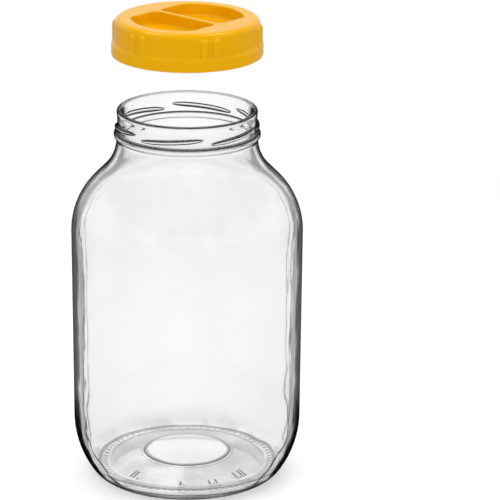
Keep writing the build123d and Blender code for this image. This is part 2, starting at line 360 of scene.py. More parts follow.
# %% A pen for outlines
class Outline:
    """An outline in a plane through the X axis, drawn edge by edge.

    Heading 0 points along X, and heading 90 along the plane's up.
    """

    def __init__(self, across, along, up=(0, 0, 1)):
        self.mesh = bmesh.new()
        self.up = Vector(up)
        self.tip = bmesh.ops.create_vert(self.mesh, co=self.point(across, along))["vert"][0]
        self.heading = 0.0

    def point(self, across, along):
        """A point of the plane."""
        return Vector((across, 0, 0)) + self.up * along

    def straight(self, length, pieces=1):
        """Goes straight on."""
        turn = math.radians(self.heading)
        step = self.point(math.cos(turn), math.sin(turn)) * length / pieces
        for _ in range(pieces):
            self.tip = bmesh.ops.extrude_vert_indiv(self.mesh, verts=[self.tip])["verts"][0]
            bmesh.ops.translate(self.mesh, verts=[self.tip], vec=step)

    def straight_to(self, across, along, pieces=1):
        """Turns towards a point and goes there."""
        way = self.point(across, along) - self.tip.co
        self.heading = math.degrees(math.atan2(way.dot(self.up), way.x))
        self.straight(way.length, pieces)

    def bend(self, radius, turn, pieces):
        """An arc that leaves the last edge smoothly. A positive turn goes left."""
        left = math.radians(self.heading + 90)
        to_centre = self.point(math.cos(left), math.sin(left)) * math.copysign(radius, turn)
        made = bmesh.ops.spin(
            self.mesh, geom=[self.tip], cent=self.tip.co + to_centre,
            axis=Vector((1, 0, 0)).cross(self.up), angle=math.radians(turn), steps=pieces)
        ends = made["geom_last"]
        self.tip = next(item for item in ends if isinstance(item, bmesh.types.BMVert))
        self.heading += turn

    def bulge_to(self, across, along, depth, pieces):
        """An arc to a point that swells to the right of the straight way by a depth."""
        way = self.point(across, along) - self.tip.co
        half_turn = 2 * math.atan(2 * depth / way.length)
        self.heading = math.degrees(math.atan2(way.dot(self.up), way.x) - half_turn)
        self.bend(way.length / 2 / math.sin(half_turn), math.degrees(2 * half_turn), pieces)


print("the pen is ready")

# %% [markdown]
# ### Sizes of the glass
#
# From the foot up, a side of the jar is a small arc at the toe, a large one at the heel, the
# straight wall, the round shoulder, a short straight slope and the flare into the neck. The slope
# and the length of the wall could be set by hand until the arcs meet. Here they are worked out
# from the sizes, so that every arc runs smoothly into the next one.

# %% Sizes of the glass
JAR_HEIGHT = jar_box[1].z
BODY_RADIUS = 81 * MM
BODY_DRAFT = 0.34  # degrees by which the wall leans in towards the foot
WALL = 3.1 * MM
TOE_RADIUS, TOE_TURN = 12.65 * MM, 53.7  # turns are in degrees
TOE_INSIDE_RADIUS, TOE_INSIDE_TURN = 13.8 * MM, 65
HEEL_RADIUS = 64.5 * MM
SHOULDER_RADIUS = 52.6 * MM
SHOULDER_STRAIGHT = 11.1 * MM
FLARE_RADIUS = 32.1 * MM
FLOOR_HEIGHT = 9.5 * MM  # where the floor inside meets the toe
FLOOR_DOME_HEIGHT = 18 * MM  # and in its middle
BORE_RADIUS = 45 * MM
FINISH_RADIUS = BORE_RADIUS + 3.45 * MM  # the wall that carries the thread
NECK_RADIUS = FINISH_RADIUS + 0.6 * MM
NECK_TOP = JAR_HEIGHT - 20.3 * MM
print("the body is", 2 * BODY_RADIUS / MM, "mm across and the bore", 2 * BORE_RADIUS / MM, "mm")


# %% Fit the arcs together
def fit_side(body, toe, toe_turn, heel, shoulder, flare, neck, bottom):
    """The shoulder's slope, the wall's length and the toe's centre for one side of the jar."""
    draft = math.radians(BODY_DRAFT)
    turn = math.radians(toe_turn)
    inward = neck + flare - (body - shoulder * math.cos(draft))
    reach = math.hypot(shoulder + flare, SHOULDER_STRAIGHT)
    slope = math.acos(inward / reach) - math.atan2(SHOULDER_STRAIGHT, shoulder + flare)
    rise = (shoulder + flare) * math.sin(slope) + SHOULDER_STRAIGHT * math.cos(slope)
    wall_top = NECK_TOP - rise - shoulder * math.sin(draft)
    heel_rise = heel * (math.cos(turn) - math.sin(draft))
    wall_height = wall_top - (bottom + toe * (1 - math.cos(turn)) + heel_rise)
    foot = body - wall_height * math.tan(draft)
    toe_centre = foot - toe * math.sin(turn) - heel * (math.cos(draft) - math.sin(turn))
    return math.degrees(slope), wall_height / math.cos(draft), toe_centre


outside_slope, outside_wall, bearing_radius = fit_side(
    BODY_RADIUS, TOE_RADIUS, TOE_TURN, HEEL_RADIUS,
    SHOULDER_RADIUS, FLARE_RADIUS, NECK_RADIUS, bottom=0)
INSIDE_FLARE = FLARE_RADIUS + NECK_RADIUS - BORE_RADIUS
inside_slope, inside_wall, floor_radius = fit_side(
    BODY_RADIUS - WALL, TOE_INSIDE_RADIUS, TOE_INSIDE_TURN, HEEL_RADIUS - WALL,
    SHOULDER_RADIUS - WALL, INSIDE_FLARE, BORE_RADIUS, FLOOR_HEIGHT)
print("the bearing ring's radius is", round(bearing_radius / MM, 2), "mm")
print("the shoulder slopes by", round(outside_slope, 1), "degrees")

# %% [markdown]
# ### Drawing the outline
#
# The pen starts under the middle of the base, goes out to the foot and up the outside, over the
# rim, down the inside, and ends in the middle of the floor. Long quiet stretches get few points,
# tight bends get many.

# %% Sizes of the base and the mouth
BASE_THICKNESS = 4.0 * MM  # under the middle of the floor
DISC_RADIUS = 30 * MM  # of the raised disc under the base
DISC_STEP, DISC_STEP_WIDTH = 1.2 * MM, 2.4 * MM
PUSH_UP_BULGE = 1.3 * MM  # of the arc between the disc's edge and the bearing ring
BEARING_WIDTH = 3 * MM
BEAD_HEIGHT, BEAD_PROUD = 5.3 * MM, 2.55 * MM  # the ring below the thread
BEAD_TOP = NECK_TOP + BEAD_HEIGHT
RIM_PROUD = 0.35 * MM
RIM_FOOT = JAR_HEIGHT - 5.5 * MM
RIM_ROUND, RIM_STRAIGHT = 1.6 * MM, 0.8 * MM
print("the bead ends", round((JAR_HEIGHT - BEAD_TOP) / MM, 1), "mm below the rim")

# %% Draw the outline
dome_turn = 2 * math.atan((FLOOR_DOME_HEIGHT - FLOOR_HEIGHT) / floor_radius)
dome_radius = floor_radius / math.sin(dome_turn) - TOE_INSIDE_RADIUS
disc_turn = math.asin(DISC_RADIUS / (dome_radius - BASE_THICKNESS))
bead_from_neck = FINISH_RADIUS + BEAD_PROUD - (NECK_RADIUS + FINISH_RADIUS) / 2
rim_radius = FINISH_RADIUS + RIM_PROUD

skin = Outline(0, FLOOR_DOME_HEIGHT - BASE_THICKNESS)
skin.bend(dome_radius - BASE_THICKNESS, -math.degrees(disc_turn), pieces=10)
skin.straight_to(skin.tip.co.x + DISC_STEP_WIDTH, skin.tip.co.z - DISC_STEP, pieces=8)
skin.bulge_to(bearing_radius - BEARING_WIDTH, 0, -PUSH_UP_BULGE, pieces=32)
skin.heading = 0
skin.straight(BEARING_WIDTH, pieces=4)
skin.bend(TOE_RADIUS, TOE_TURN, pieces=24)
skin.bend(HEEL_RADIUS, 90 - BODY_DRAFT - TOE_TURN, pieces=14)
skin.straight(outside_wall, pieces=20)
skin.bend(SHOULDER_RADIUS, outside_slope + BODY_DRAFT, pieces=16)
skin.straight(SHOULDER_STRAIGHT, pieces=3)
skin.bend(FLARE_RADIUS, -outside_slope, pieces=12)
skin.bulge_to(FINISH_RADIUS, BEAD_TOP, bead_from_neck, pieces=10)
skin.straight_to(FINISH_RADIUS, RIM_FOOT, pieces=36)
skin.straight_to(rim_radius, JAR_HEIGHT - RIM_ROUND - RIM_STRAIGHT, pieces=6)
skin.straight_to(rim_radius, JAR_HEIGHT - RIM_ROUND, pieces=2)
skin.bend(RIM_ROUND, 90, pieces=6)
skin.straight_to(BORE_RADIUS + RIM_ROUND, JAR_HEIGHT)
skin.bend(RIM_ROUND, 90, pieces=6)
skin.straight_to(BORE_RADIUS, NECK_TOP, pieces=6)
skin.bend(INSIDE_FLARE, inside_slope, pieces=12)
skin.straight(SHOULDER_STRAIGHT, pieces=3)
skin.bend(SHOULDER_RADIUS - WALL, -inside_slope - BODY_DRAFT, pieces=16)
skin.straight(inside_wall, pieces=30)
skin.bend(HEEL_RADIUS - WALL, TOE_INSIDE_TURN + BODY_DRAFT - 90, pieces=12)
skin.bend(TOE_INSIDE_RADIUS, -TOE_INSIDE_TURN, pieces=10)
skin.bend(TOE_INSIDE_RADIUS, -math.degrees(dome_turn), pieces=4)
skin.bend(dome_radius, math.degrees(dome_turn), pieces=16)
print("the outline has", len(skin.mesh.verts), "points and ends at",
      [round(c / MM, 3) for c in skin.tip.co], "mm")

# %% [markdown]
# ## Turn the outline into the jar
#
# Spin carries the outline once round the axis and closes it on itself. The two ends of the
# outline lie on the axis, where all their copies meet, so merging doubles closes both poles.

# %% Spin the skin
STEPS = 240
MERGE_DISTANCE = 0.01 * MM


def turn_round(mesh):
    """Carries an outline once round the axis and closes the skin."""
    bmesh.ops.spin(
        mesh, geom=mesh.verts[:] + mesh.edges[:], cent=(0, 0, 0), axis=(0, 0, 1),
        angle=math.tau, steps=STEPS, use_merge=True)
    bmesh.ops.remove_doubles(mesh, verts=mesh.verts[:], dist=MERGE_DISTANCE)
    bmesh.ops.recalc_face_normals(mesh, faces=mesh.faces[:])
    print(len(mesh.faces), "faces,", sum(edge.is_boundary for edge in mesh.edges), "open edges,",
          round(mesh.calc_volume() / MM ** 3), "cubic mm")


jar_mesh = skin.mesh
turn_round(jar_mesh)

# %% [markdown]
# ## Thread ridges
#
# The glass has no continuous thread. Six short slanting ridges stand round the mouth, and each
# catches one lug of the lid. They could be separate bars joined with a boolean, which leaves hard
# seams. Moving the points of the wall out to the ridge's surface keeps one smooth skin, and a
# soft maximum gives the small fillet that molten glass leaves.

# %% Shape of the ridges
THREAD_STARTS = 6
RIDGE_PROUD = 1.9 * MM
RIDGE_HALF_WIDTH = 1.6 * MM
RIDGE_SPAN = math.radians(53)
RIDGE_SLOPE = math.radians(4.35)
RIDGE_HEIGHT = BEAD_TOP + 3.9 * MM
RIDGE_AZIMUTH = math.radians(-14)
RIDGE_FILLET = 0.35 * MM
RIDGE_BLUNT = 4  # a higher power gives blunter ends
START_PITCH = math.tau / THREAD_STARTS
THREAD_FOOT = BEAD_TOP + 0.2 * MM


def azimuth_of(point):
    """The angle round the axis, counted from the front towards +X."""
    return math.atan2(point.x, -point.y)


def radius_of(vert):
    """A point's distance from the axis."""
    return math.hypot(vert.co.x, vert.co.y)


def smooth_max(a, b, width):
    """The larger of two values, with a soft turn where they meet."""
    near = max(width - abs(a - b), 0) / width
    return max(a, b) + near * near * width / 4


def ridge_reach(azimuth, height):
    """How far from the axis the nearest ridge reaches at a place on the wall."""
    turn = (azimuth - RIDGE_AZIMUTH + START_PITCH / 2) % START_PITCH - START_PITCH / 2
    ridge_height = RIDGE_HEIGHT + FINISH_RADIUS * turn * math.tan(RIDGE_SLOPE)
    across = (height - ridge_height) / RIDGE_HALF_WIDTH
    share = across ** 2 + abs(2 * turn / RIDGE_SPAN) ** RIDGE_BLUNT
    return FINISH_RADIUS + RIDGE_PROUD * math.sqrt(1 - share) if share < 1 else 0


print("a ridge's radius is", round(ridge_reach(RIDGE_AZIMUTH, RIDGE_HEIGHT) / MM, 2), "mm")

# %% Move the wall out to the ridges
moved = 0
for vert in jar_mesh.verts:
    radius = radius_of(vert)
    outside = radius > (BORE_RADIUS + FINISH_RADIUS) / 2
    if outside and THREAD_FOOT < vert.co.z < RIM_FOOT:
        reach = ridge_reach(azimuth_of(vert.co), vert.co.z)
        reach = smooth_max(radius, reach, RIDGE_FILLET)
        vert.co.xy *= reach / radius
        moved += reach > radius
print(THREAD_STARTS, "ridges moved", moved, "points")

# %% [markdown]
# ## Strokes under the base
#
# A jar's foot carries a ring of short strokes, so that it never sits flat on a wet conveyor. They
# are made by lifting the ground between them, while the strokes stay at the height of the foot.
# The ring needs finer edges than the rest, so only its own edges are subdivided. A number on every
# point holds a painted shade: the glass reads it later and darkens where a fold is deep, since a
# narrow fold bends light away and looks dark. The strokes and a band of the foot outside the ring
# get this painted shade.

# %% Subdivide the ring of strokes
STROKES_FROM, STROKES_TO = bearing_radius + 0.2 * MM, bearing_radius + 4.4 * MM
RING_MARGIN = 0.6 * MM  # the finer edges reach this far past the strokes
RING_CUTS = 3
FOOT_ZONE = 5 * MM  # points lower than this belong to the foot
SAME_RADIUS = 0.001 * MM  # an edge along the ring changes its radius by less


def in_ring(vert):
    """Whether a point lies on the ring of strokes under the base."""
    margin = RING_MARGIN
    return vert.co.z < FOOT_ZONE and STROKES_FROM - margin < radius_of(vert) < STROKES_TO + margin


painted_line_shade = jar_mesh.verts.layers.float.new("painted_line_shade")
ring_edges = [
    edge for edge in jar_mesh.edges
    if all(in_ring(vert) for vert in edge.verts)
    and abs(radius_of(edge.verts[0]) - radius_of(edge.verts[1])) < SAME_RADIUS]
bmesh.ops.subdivide_edges(jar_mesh, edges=ring_edges, cuts=RING_CUTS, use_grid_fill=True)
print(len(ring_edges), "edges of the ring subdivided")

# %% Raise the ground between the strokes
STROKES = 72
STROKE_HEIGHT = 0.6 * MM
STROKE_SHADE = 1.0
STROKE_NARROW = 1.2  # a higher power gives narrower strokes
RING_FULL = 0.5  # a lower power keeps the strokes high up to their ends
# painted shade in a band of the foot, outside the ring
FOOT_SHADE_LINES = ((5.0 * MM, 8.8 * MM, 0.6),)  # from, to and how dark, outside the ring

# The ground between the strokes rises, and the strokes get their painted shade.
for vert in jar_mesh.verts:
    share = (radius_of(vert) - STROKES_FROM) / (STROKES_TO - STROKES_FROM)
    if in_ring(vert) and 0 < share < 1:
        ring = math.sin(math.pi * share) ** RING_FULL
        stroke = max(0, math.cos(STROKES * azimuth_of(vert.co))) ** STROKE_NARROW
        vert.co.z += STROKE_HEIGHT * ring * (1 - stroke)
        vert[painted_line_shade] = STROKE_SHADE * ring * stroke
for vert in jar_mesh.verts:
    for start, end, shade in FOOT_SHADE_LINES:
        if start < radius_of(vert) - bearing_radius < end and vert.co.z < FOOT_ZONE:
            vert[painted_line_shade] = shade
print(STROKES, "strokes,", STROKE_HEIGHT / MM, "mm high")

# %% [markdown]
# ## Circle and marks
#
# The middle of the base is a raised disc with a clear edge. Outside it moulders put small raised
# marks; plain bars and dots stand for them here. Insetting a few faces of the skin raises each
# mark and keeps the skin closed. Two lines round the disc and every mark get a painted shade, as
# folds in glass look dark.

# %% Circle under the base
# painted shade in two lines round the disc
CIRCLE_SHADE_LINES = (  # from, to and how dark, outside the disc
    (-0.05 * MM, 0.8 * MM, 0.85),
    (2.2 * MM, 2.9 * MM, 0.4))

circle_points = 0
for vert in jar_mesh.verts:
    beyond = radius_of(vert) - DISC_RADIUS
    for start, end, shade in CIRCLE_SHADE_LINES:
        if start < beyond < end and vert.normal.z < 0 and vert.co.z < FLOOR_DOME_HEIGHT:
            vert[painted_line_shade] = shade
            circle_points += 1
print(circle_points, "points lie on the circle's lines")

# %% Marks under the base
MARK_OUTER_RADIUS = 52 * MM
MARK_HEIGHT = 0.6 * MM
MARK_RIM = 0.12 * MM
# painted shade on every mark
MARK_SHADE = 0.75
MARKS = {  # where a bar stands, in steps of the turn from the front, and its length in mm
    -34: 7, -32: 7, -29: 2.5, -4: 6, -2: 2.5, 12: 6, 14: 2.5, 16: 6,
    29: 7, 31: 2.5, 33: 7, 35: 7}
FACES_DOWN = -0.3  # a face looks down where its normal's height is below this

mark_faces = {step: [] for step in MARKS}
for face in jar_mesh.faces:
    centre = face.calc_center_median()
    if face.normal.z < FACES_DOWN and centre.z < FLOOR_DOME_HEIGHT and centre.y < 0:
        step = math.floor(azimuth_of(centre) / math.tau * STEPS)
        inward = MARK_OUTER_RADIUS - math.hypot(centre.x, centre.y)
        if step in MARKS and 0 < inward < MARKS[step] * MM:
            mark_faces[step].append(face)
for faces in mark_faces.values():
    bmesh.ops.inset_region(
        jar_mesh, faces=faces, thickness=MARK_RIM, depth=MARK_HEIGHT, use_even_offset=True)
    for vert in {vert for face in faces for vert in face.verts}:
        vert[painted_line_shade] = MARK_SHADE
print(len(MARKS), "marks with", sum(map(len, mark_faces.values())), "faces")

# %% [markdown]
# ## Waviness
#
# Blown glass is true outside, where it met the mould, and uneven inside, where only air shaped
# it. That unevenness draws the wandering lines near the jar's sides. A bump texture would only
# fake them in the shading; moving the points by a slow noise bends the light as the real wall
# does. The noise is stretched along the jar.

# %% Waviness of blown glass
WAVE_LENGTH = 26 * MM
WAVE_STRETCH = 0.4  # along the jar; a lower number gives longer waves
WAVE_INSIDE = 0.16 * MM
WAVE_OUTSIDE = 0.03 * MM
RIPPLE_SHARE, RIPPLE_SCALE = 0.5, 2.3  # a finer noise on top of the slow one
WAVY_FOOT, WAVY_FULL = 22 * MM, 34 * MM  # heights between which the waves grow
WAVY_LESS, WAVY_TOP = NECK_TOP - 24 * MM, NECK_TOP - 4 * MM  # and die away


def part_way(value, start, end):
    """How far a value is on the way from start to end, from 0 to 1."""
    return max(0, min(1, (value - start) / (end - start)))


def outwardness(vert):
    """1 where the skin faces straight away from the axis, -1 where it faces the axis."""
    return (vert.normal.x * vert.co.x + vert.normal.y * vert.co.y) / radius_of(vert)


jar_mesh.normal_update()
for vert in jar_mesh.verts:
    height = vert.co.z
    if WAVY_FOOT < height < WAVY_TOP:
        fade = min(part_way(height, WAVY_FOOT, WAVY_FULL), part_way(height, WAVY_TOP, WAVY_LESS))
        spot = Vector((vert.co.x, vert.co.y, height * WAVE_STRETCH)) / WAVE_LENGTH
        swell = noise.noise(spot) + RIPPLE_SHARE * noise.noise(spot * RIPPLE_SCALE)
        depth = WAVE_INSIDE if outwardness(vert) < 0 else WAVE_OUTSIDE
        vert.co.xy *= 1 + depth * swell * fade / radius_of(vert)
print("the wall is wavy by about", WAVE_INSIDE / MM, "mm")

# %% [markdown]
# ## Folds of the mouth
#
# Around the mouth every ridge, bead and rim gets a dark outline of painted shade, where bent glass
# looks dark. It lies where the skin tilts away from the upright wall, so the tilt of each point's
# normal says how dark its line is. The lower half of the bead and the level top of the rim stay
# light.

# %% Mark the folds of the mouth
# painted shade in the folds of the mouth
FOLD_SHADE = 0.93
INNER_SHADE = 0.35  # the fold of the rim towards the bore is fainter
FOLD_START, FOLD_FULL = 0.25, 0.5  # sine of the tilt at which a line begins, and is full
LEVEL_MARGIN = 0.12  # how far from level the top of the rim turns dark
BEAD_MIDDLE = NECK_TOP + BEAD_HEIGHT / 2
LINES_FROM, LINES_FULL = BEAD_MIDDLE - 0.8 * MM, BEAD_MIDDLE + 0.2 * MM
LEAST_LINE = 0.1

jar_mesh.normal_update()
for vert in jar_mesh.verts:
    if vert.co.z > NECK_TOP:
        outward = outwardness(vert)
        tilt = math.sqrt(max(0, 1 - outward ** 2))
        above_bead = max(LEAST_LINE, part_way(vert.co.z, LINES_FROM, LINES_FULL))
        not_level = part_way(1 - abs(vert.normal.z), 0, LEVEL_MARGIN)
        shade = FOLD_SHADE if outward > 0 else INNER_SHADE
        vert[painted_line_shade] = shade * part_way(tilt, FOLD_START, FOLD_FULL) * not_level * above_bead
print(sum(vert[painted_line_shade] > 0.4 for vert in jar_mesh.verts), "points lie on a dark line")

# %% [markdown]
# ## Clear glass
#
# A plain glass shader on a white set is nearly invisible. Real glass jars have dark edges, partly
# because there the light travels a long way inside the wall, and partly because the edges bend
# dark surroundings into view. The glass could be filled with an absorbing volume, which is slow
# and is lost in the export. The glass could be filled with an absorbing volume, which is slow, so
# a painted shade in the shader's colour does it: it darkens with the Facing value, which is high
# where a surface is seen edge on.

# %% Start the glass
clear_glass, tree = new_material("clear_glass")
coordinates = add_node(tree, "TexCoord")
place = coordinates["Object"]
above_table = add_node(tree, "SeparateXYZ", inputs={0: place})["Z"]
print(clear_glass.name, "reads the place and the height of each point")

# %% [markdown]
# ### Which parts are seen edge on
#
# The Facing value alone would draw a ruler-straight band along each side. A noise drawn out along
# the jar lets the band waver as in blown glass. Level surfaces in the base are seen edge on too,
# but there the light takes a short way, so they are left out.

# %% Which parts are seen edge on
STREAK_SCALE = 120
STREAK_STRETCH = 0.3  # along the jar; a lower number gives longer streaks
STREAK_WAVER = 0.025  # how far the streaks push the edge value up or down
LEVEL_POWER = 4.0  # a higher power counts fewer surfaces as level
BASE_INNER, BASE_OUTER = 18 * MM, 30 * MM  # heights between which the base ends
SOLE_INNER, SOLE_OUTER = 0.1 * MM, 0.8 * MM  # and the sole, which has no dark edge


def stretched(tree, place, along):
    """A place with its height scaled, which draws out a pattern along the jar."""
    return add_node(tree, "Mapping", inputs={"Vector": place, "Scale": (1, 1, along)})[0]


facing = add_node(tree, "LayerWeight", inputs={"Blend": 0.5})["Facing"]
drawn_out = stretched(tree, place, STREAK_STRETCH)
streaks = speckle(tree, drawn_out, STREAK_SCALE, Detail=2, Roughness=0.5)
waver = remap(tree, streaks, NOISE_LOW, NOISE_HIGH, -STREAK_WAVER, STREAK_WAVER, smooth=False)
normal_height = add_node(tree, "SeparateXYZ", inputs={0: coordinates["Normal"]})["Z"]
level = calculate(tree, "ABSOLUTE", normal_height)
level = calculate(tree, "POWER", level, LEVEL_POWER)
in_base = remap(tree, above_table, BASE_INNER, BASE_OUTER, 1.0, 0.0)
level_in_base = calculate(tree, "MULTIPLY", level, in_base)
upright = calculate(
    tree, "MULTIPLY", calculate(tree, "SUBTRACT", 1.0, level_in_base),
    remap(tree, above_table, SOLE_INNER, SOLE_OUTER))
edge_on = calculate(tree, "MULTIPLY", calculate(tree, "ADD", facing, waver), upright)
print("the edges waver by", STREAK_WAVER)

# %% [markdown]
# ### Dark edges by height
#
# The painted shade of the edges differs by height: the wall has a broad dark band with one thin
# line beside it, the shoulder has the band alone, and the foot is dark much sooner, because its
# glass is thick. Each gets a colour ramp from the edge value to a brightness, and the three are
# mixed by height.

# %% Dark edges by height
WALL_EDGE_SHADE = [  # how far edge on, and how bright; the thin line lies near 0.6
    (0.0, 1.0), (0.50, 0.985), (0.585, 0.965), (0.597, 0.45), (0.607, 0.5), (0.619, 0.95),
    (0.688, 0.93), (0.715, 0.37), (0.745, 0.13), (0.80, 0.11), (0.87, 0.07), (0.95, 0.10)]
SHOULDER_EDGE_SHADE = [
    (0.0, 1.0), (0.60, 0.965), (0.70, 0.80), (0.76, 0.30), (0.87, 0.07), (0.95, 0.10)]
FOOT_EDGE_SHADE = [(0.0, 1.0), (0.30, 0.95), (0.50, 0.33), (0.62, 0.07), (0.95, 0.05)]
FOOT_END, HEEL_START = 5 * MM, 9 * MM  # each pair is a change from one part to the next
HEEL_END, WALL_START = 35 * MM, 70 * MM
WALL_END, SHOULDER_START = 185 * MM, 215 * MM
SHOULDER_END, NECK_START = 205 * MM, 240 * MM
HEEL_DARKER, NECK_DARKER = 2.4, 0.5  # powers, and what the neck adds to the power

wall_edge_shade = ramp(tree, edge_on, WALL_EDGE_SHADE)
shoulder_edge_shade = ramp(tree, edge_on, SHOULDER_EDGE_SHADE)
foot_edge_shade = ramp(tree, edge_on, FOOT_EDGE_SHADE)
darker = calculate(
    tree, "ADD", remap(tree, above_table, HEEL_END, WALL_START, HEEL_DARKER, 1.0),
    remap(tree, above_table, SHOULDER_END, NECK_START, 0.0, NECK_DARKER))
edge = choose(
    tree, remap(tree, above_table, WALL_END, SHOULDER_START), wall_edge_shade, shoulder_edge_shade)
edge = calculate(tree, "POWER", edge, darker)
edge = choose(tree, remap(tree, above_table, FOOT_END, HEEL_START), foot_edge_shade, edge)
print("edge ramps have", [len(stops) for stops in (WALL_EDGE_SHADE, SHOULDER_EDGE_SHADE, FOOT_EDGE_SHADE)], "stops")

# %% [markdown]
# ### Clouds, haze and painted dark lines
#
# The level glass of the base is darkened in cloudy patches outside its clear disc, and the wall
# has a faint haze. Two noises on Object coordinates give both, at the scale of the real thing, and
# the painted shade of the dark lines is read back from the numbers on the mesh's points.

# %% Clouds, haze and painted dark lines
CLOUD_SCALE, CLOUD_SHADE = 45, 0.18
CLOUD_START, CLOUD_FULL = 0.4, 0.62  # the noise values between which a cloud grows
CLEAR_EDGE = 1 * MM  # how far the clear disc takes to turn cloudy
HAZE_SCALE, HAZE_STRETCH, HAZE_SHADE = 32, 0.45, 0.012
HAZE_START, HAZE_FULL = 0.35, 0.65

flat = calculate_vector(tree, "MULTIPLY", place, (1, 1, 0))["Vector"]
from_axis = calculate_vector(tree, "LENGTH", flat)["Value"]
beyond_disc = remap(tree, from_axis, DISC_RADIUS, DISC_RADIUS + CLEAR_EDGE)
cloud_noise = speckle(tree, place, CLOUD_SCALE, Detail=3, Distortion=0.6)
cloud = remap(tree, cloud_noise, CLOUD_START, CLOUD_FULL, 0.0, CLOUD_SHADE, smooth=False)
cloud_zone = calculate(tree, "MULTIPLY", level_in_base, beyond_disc)
clouds = calculate(tree, "MULTIPLY", cloud_zone, cloud)
drawn_out = stretched(tree, place, HAZE_STRETCH)
haze_noise = speckle(tree, drawn_out, HAZE_SCALE, Detail=2, Distortion=0.4)
haze = remap(tree, haze_noise, HAZE_START, HAZE_FULL, 0.0, HAZE_SHADE, smooth=False)
clearness = calculate(tree, "SUBTRACT", calculate(tree, "SUBTRACT", 1.0, clouds), haze)
# painted shade along the folds, read from the mesh
lines = add_node(tree, "Attribute", {"attribute_name": "painted_line_shade"})["Fac"]
beside_lines = calculate(tree, "SUBTRACT", 1.0, lines)
brightness = calculate(tree, "MULTIPLY", edge, clearness)
brightness = calculate(tree, "MULTIPLY", brightness, beside_lines)
print("clouds darken the base by up to", CLOUD_SHADE, "and haze the wall by", HAZE_SHADE)

# %% [markdown]
# ### Light through the glass
#
# A renderer follows a ray through only so many surfaces, and the thick base traps rays like a
# light guide, which leaves a black band. Where a ray is caught that long, the glass glows with an
# even pale level instead, a painted light. Shadow rays pass nearly unhindered, because a glass jar
# throws only a pale shadow.

# %% Light through the glass
GLASS_IOR = 1.5
GLASS_TONE = (0.997, 1.0, 0.998)
SHADOW_TONE = (0.95, 0.955, 0.952, 1)
CAUGHT_AFTER = 4.5  # surfaces that a ray passes before it counts as caught
CAUGHT_GLOW_LEVEL = 0.8

scaled = {0: GLASS_TONE, "Scale": brightness}
tone = add_node(tree, "VectorMath", {"operation": "SCALE"}, scaled)[0]
glass = add_node(tree, "BsdfGlass", inputs={"Roughness": 0.0, "IOR": GLASS_IOR, "Color": tone})[0]
ray = add_node(tree, "LightPath")
lamp_light = add_node(tree, "BsdfTransparent", inputs={"Color": SHADOW_TONE})[0]
passing = mix_shaders(tree, ray["Is Shadow Ray"], glass, lamp_light)
# a painted glow for rays that are caught in the glass
caught = calculate(tree, "GREATER_THAN", ray["Ray Depth"], CAUGHT_AFTER)
painted_caught_glow = add_node(tree, "Emission", inputs={"Strength": CAUGHT_GLOW_LEVEL})[0]
whole = mix_shaders(tree, caught, passing, painted_caught_glow)
add_node(tree, "OutputMaterial", inputs={"Surface": whole})
print("the glass has", len(tree.nodes), "nodes")

# %% [markdown]
# ## Finish the jar
#
# The finished mesh becomes an object, stands for the measured solid, and rides with the jar's
# body. The lid needs the same steps later, so they are a helper.

# %% Make the jar
def finish_piece(name, mesh, body, material, replaced):
    """Turns a bmesh into a smooth piece that rides with a body and stands for a solid."""
    piece = plain_object(name, mesh)
    piece.data.shade_smooth()
    piece.data.materials.append(material)
    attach(piece, body)
    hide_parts(replaced)
    triangles = sum(len(face.vertices) - 2 for face in piece.data.polygons)
    print(name, "has", triangles, "triangles")


finish_piece("jar_of_glass", jar_mesh, "jar", clear_glass, "glass_jar")

# %% [markdown]
# ## Screw lid
#
# The lid is moulded in one piece of soft-edged plastic. Its round parts are an outline turned
# round the axis, as the glass is. The finger wells are cut with a boolean, and the ribs are pads
# laid against the skirt. A voxel remesh then joins all of it into one skin, and a little
# smoothing gives every edge the small radius of a moulding.

# %% Sizes of the lid
LID_FOOT = lid_box[0].z
LID_HEIGHT = lid_box[1].z - LID_FOOT  # heights below are counted from the lid's foot
SEAL_HEIGHT = 15.9 * MM  # of the ceiling inside
SKIRT_BORE_RADIUS = FINISH_RADIUS + RIM_PROUD + 0.25 * MM
SKIRT_RADIUS = SKIRT_BORE_RADIUS + 1.4 * MM
SKIRT_TOP_RADIUS = SKIRT_RADIUS - 0.25 * MM
BAND_BORE_RADIUS = FINISH_RADIUS + RIDGE_PROUD + 0.4 * MM  # the band goes over the ridges
BAND_RADIUS = BAND_BORE_RADIUS + 1.55 * MM
BAND_BORE_DEPTH, BAND_BORE_TAPER = 8 * MM, 1.2 * MM
LID_EDGE_RADIUS = 4.5 * MM
LEDGE_TOP = 10.4 * MM
LEDGE_HOLLOW, LEDGE_ROUND = 1.6 * MM, 1.8 * MM  # radii of the step from the skirt to the band
FOOT_ROUND = 0.7 * MM
print("the lid is", round(LID_HEIGHT / MM, 1), "mm high,", round(2 * BAND_RADIUS / MM, 1), "wide")

# %% Turn the lid's shell
ledge_share = (BAND_RADIUS - SKIRT_RADIUS) / (LEDGE_HOLLOW + LEDGE_ROUND)
ledge_turn = math.degrees(math.acos(1 - ledge_share))

shell = Outline(0, LID_HEIGHT)
shell.straight(SKIRT_TOP_RADIUS - LID_EDGE_RADIUS, pieces=12)
shell.bend(LID_EDGE_RADIUS, -90, pieces=12)
shell.straight_to(SKIRT_RADIUS, LEDGE_TOP, pieces=6)
shell.heading = -90
shell.bend(LEDGE_HOLLOW, ledge_turn, pieces=8)
shell.bend(LEDGE_ROUND, -ledge_turn, pieces=8)
shell.straight_to(BAND_RADIUS, FOOT_ROUND, pieces=4)
shell.bend(FOOT_ROUND, -90, pieces=4)
shell.straight_to(BAND_BORE_RADIUS, 0)
shell.straight_to(BAND_BORE_RADIUS, BAND_BORE_DEPTH, pieces=4)
shell.straight_to(SKIRT_BORE_RADIUS, BAND_BORE_DEPTH + BAND_BORE_TAPER)
shell.straight_to(SKIRT_BORE_RADIUS, SEAL_HEIGHT, pieces=4)
shell.straight_to(0, SEAL_HEIGHT, pieces=12)
turn_round(shell.mesh)

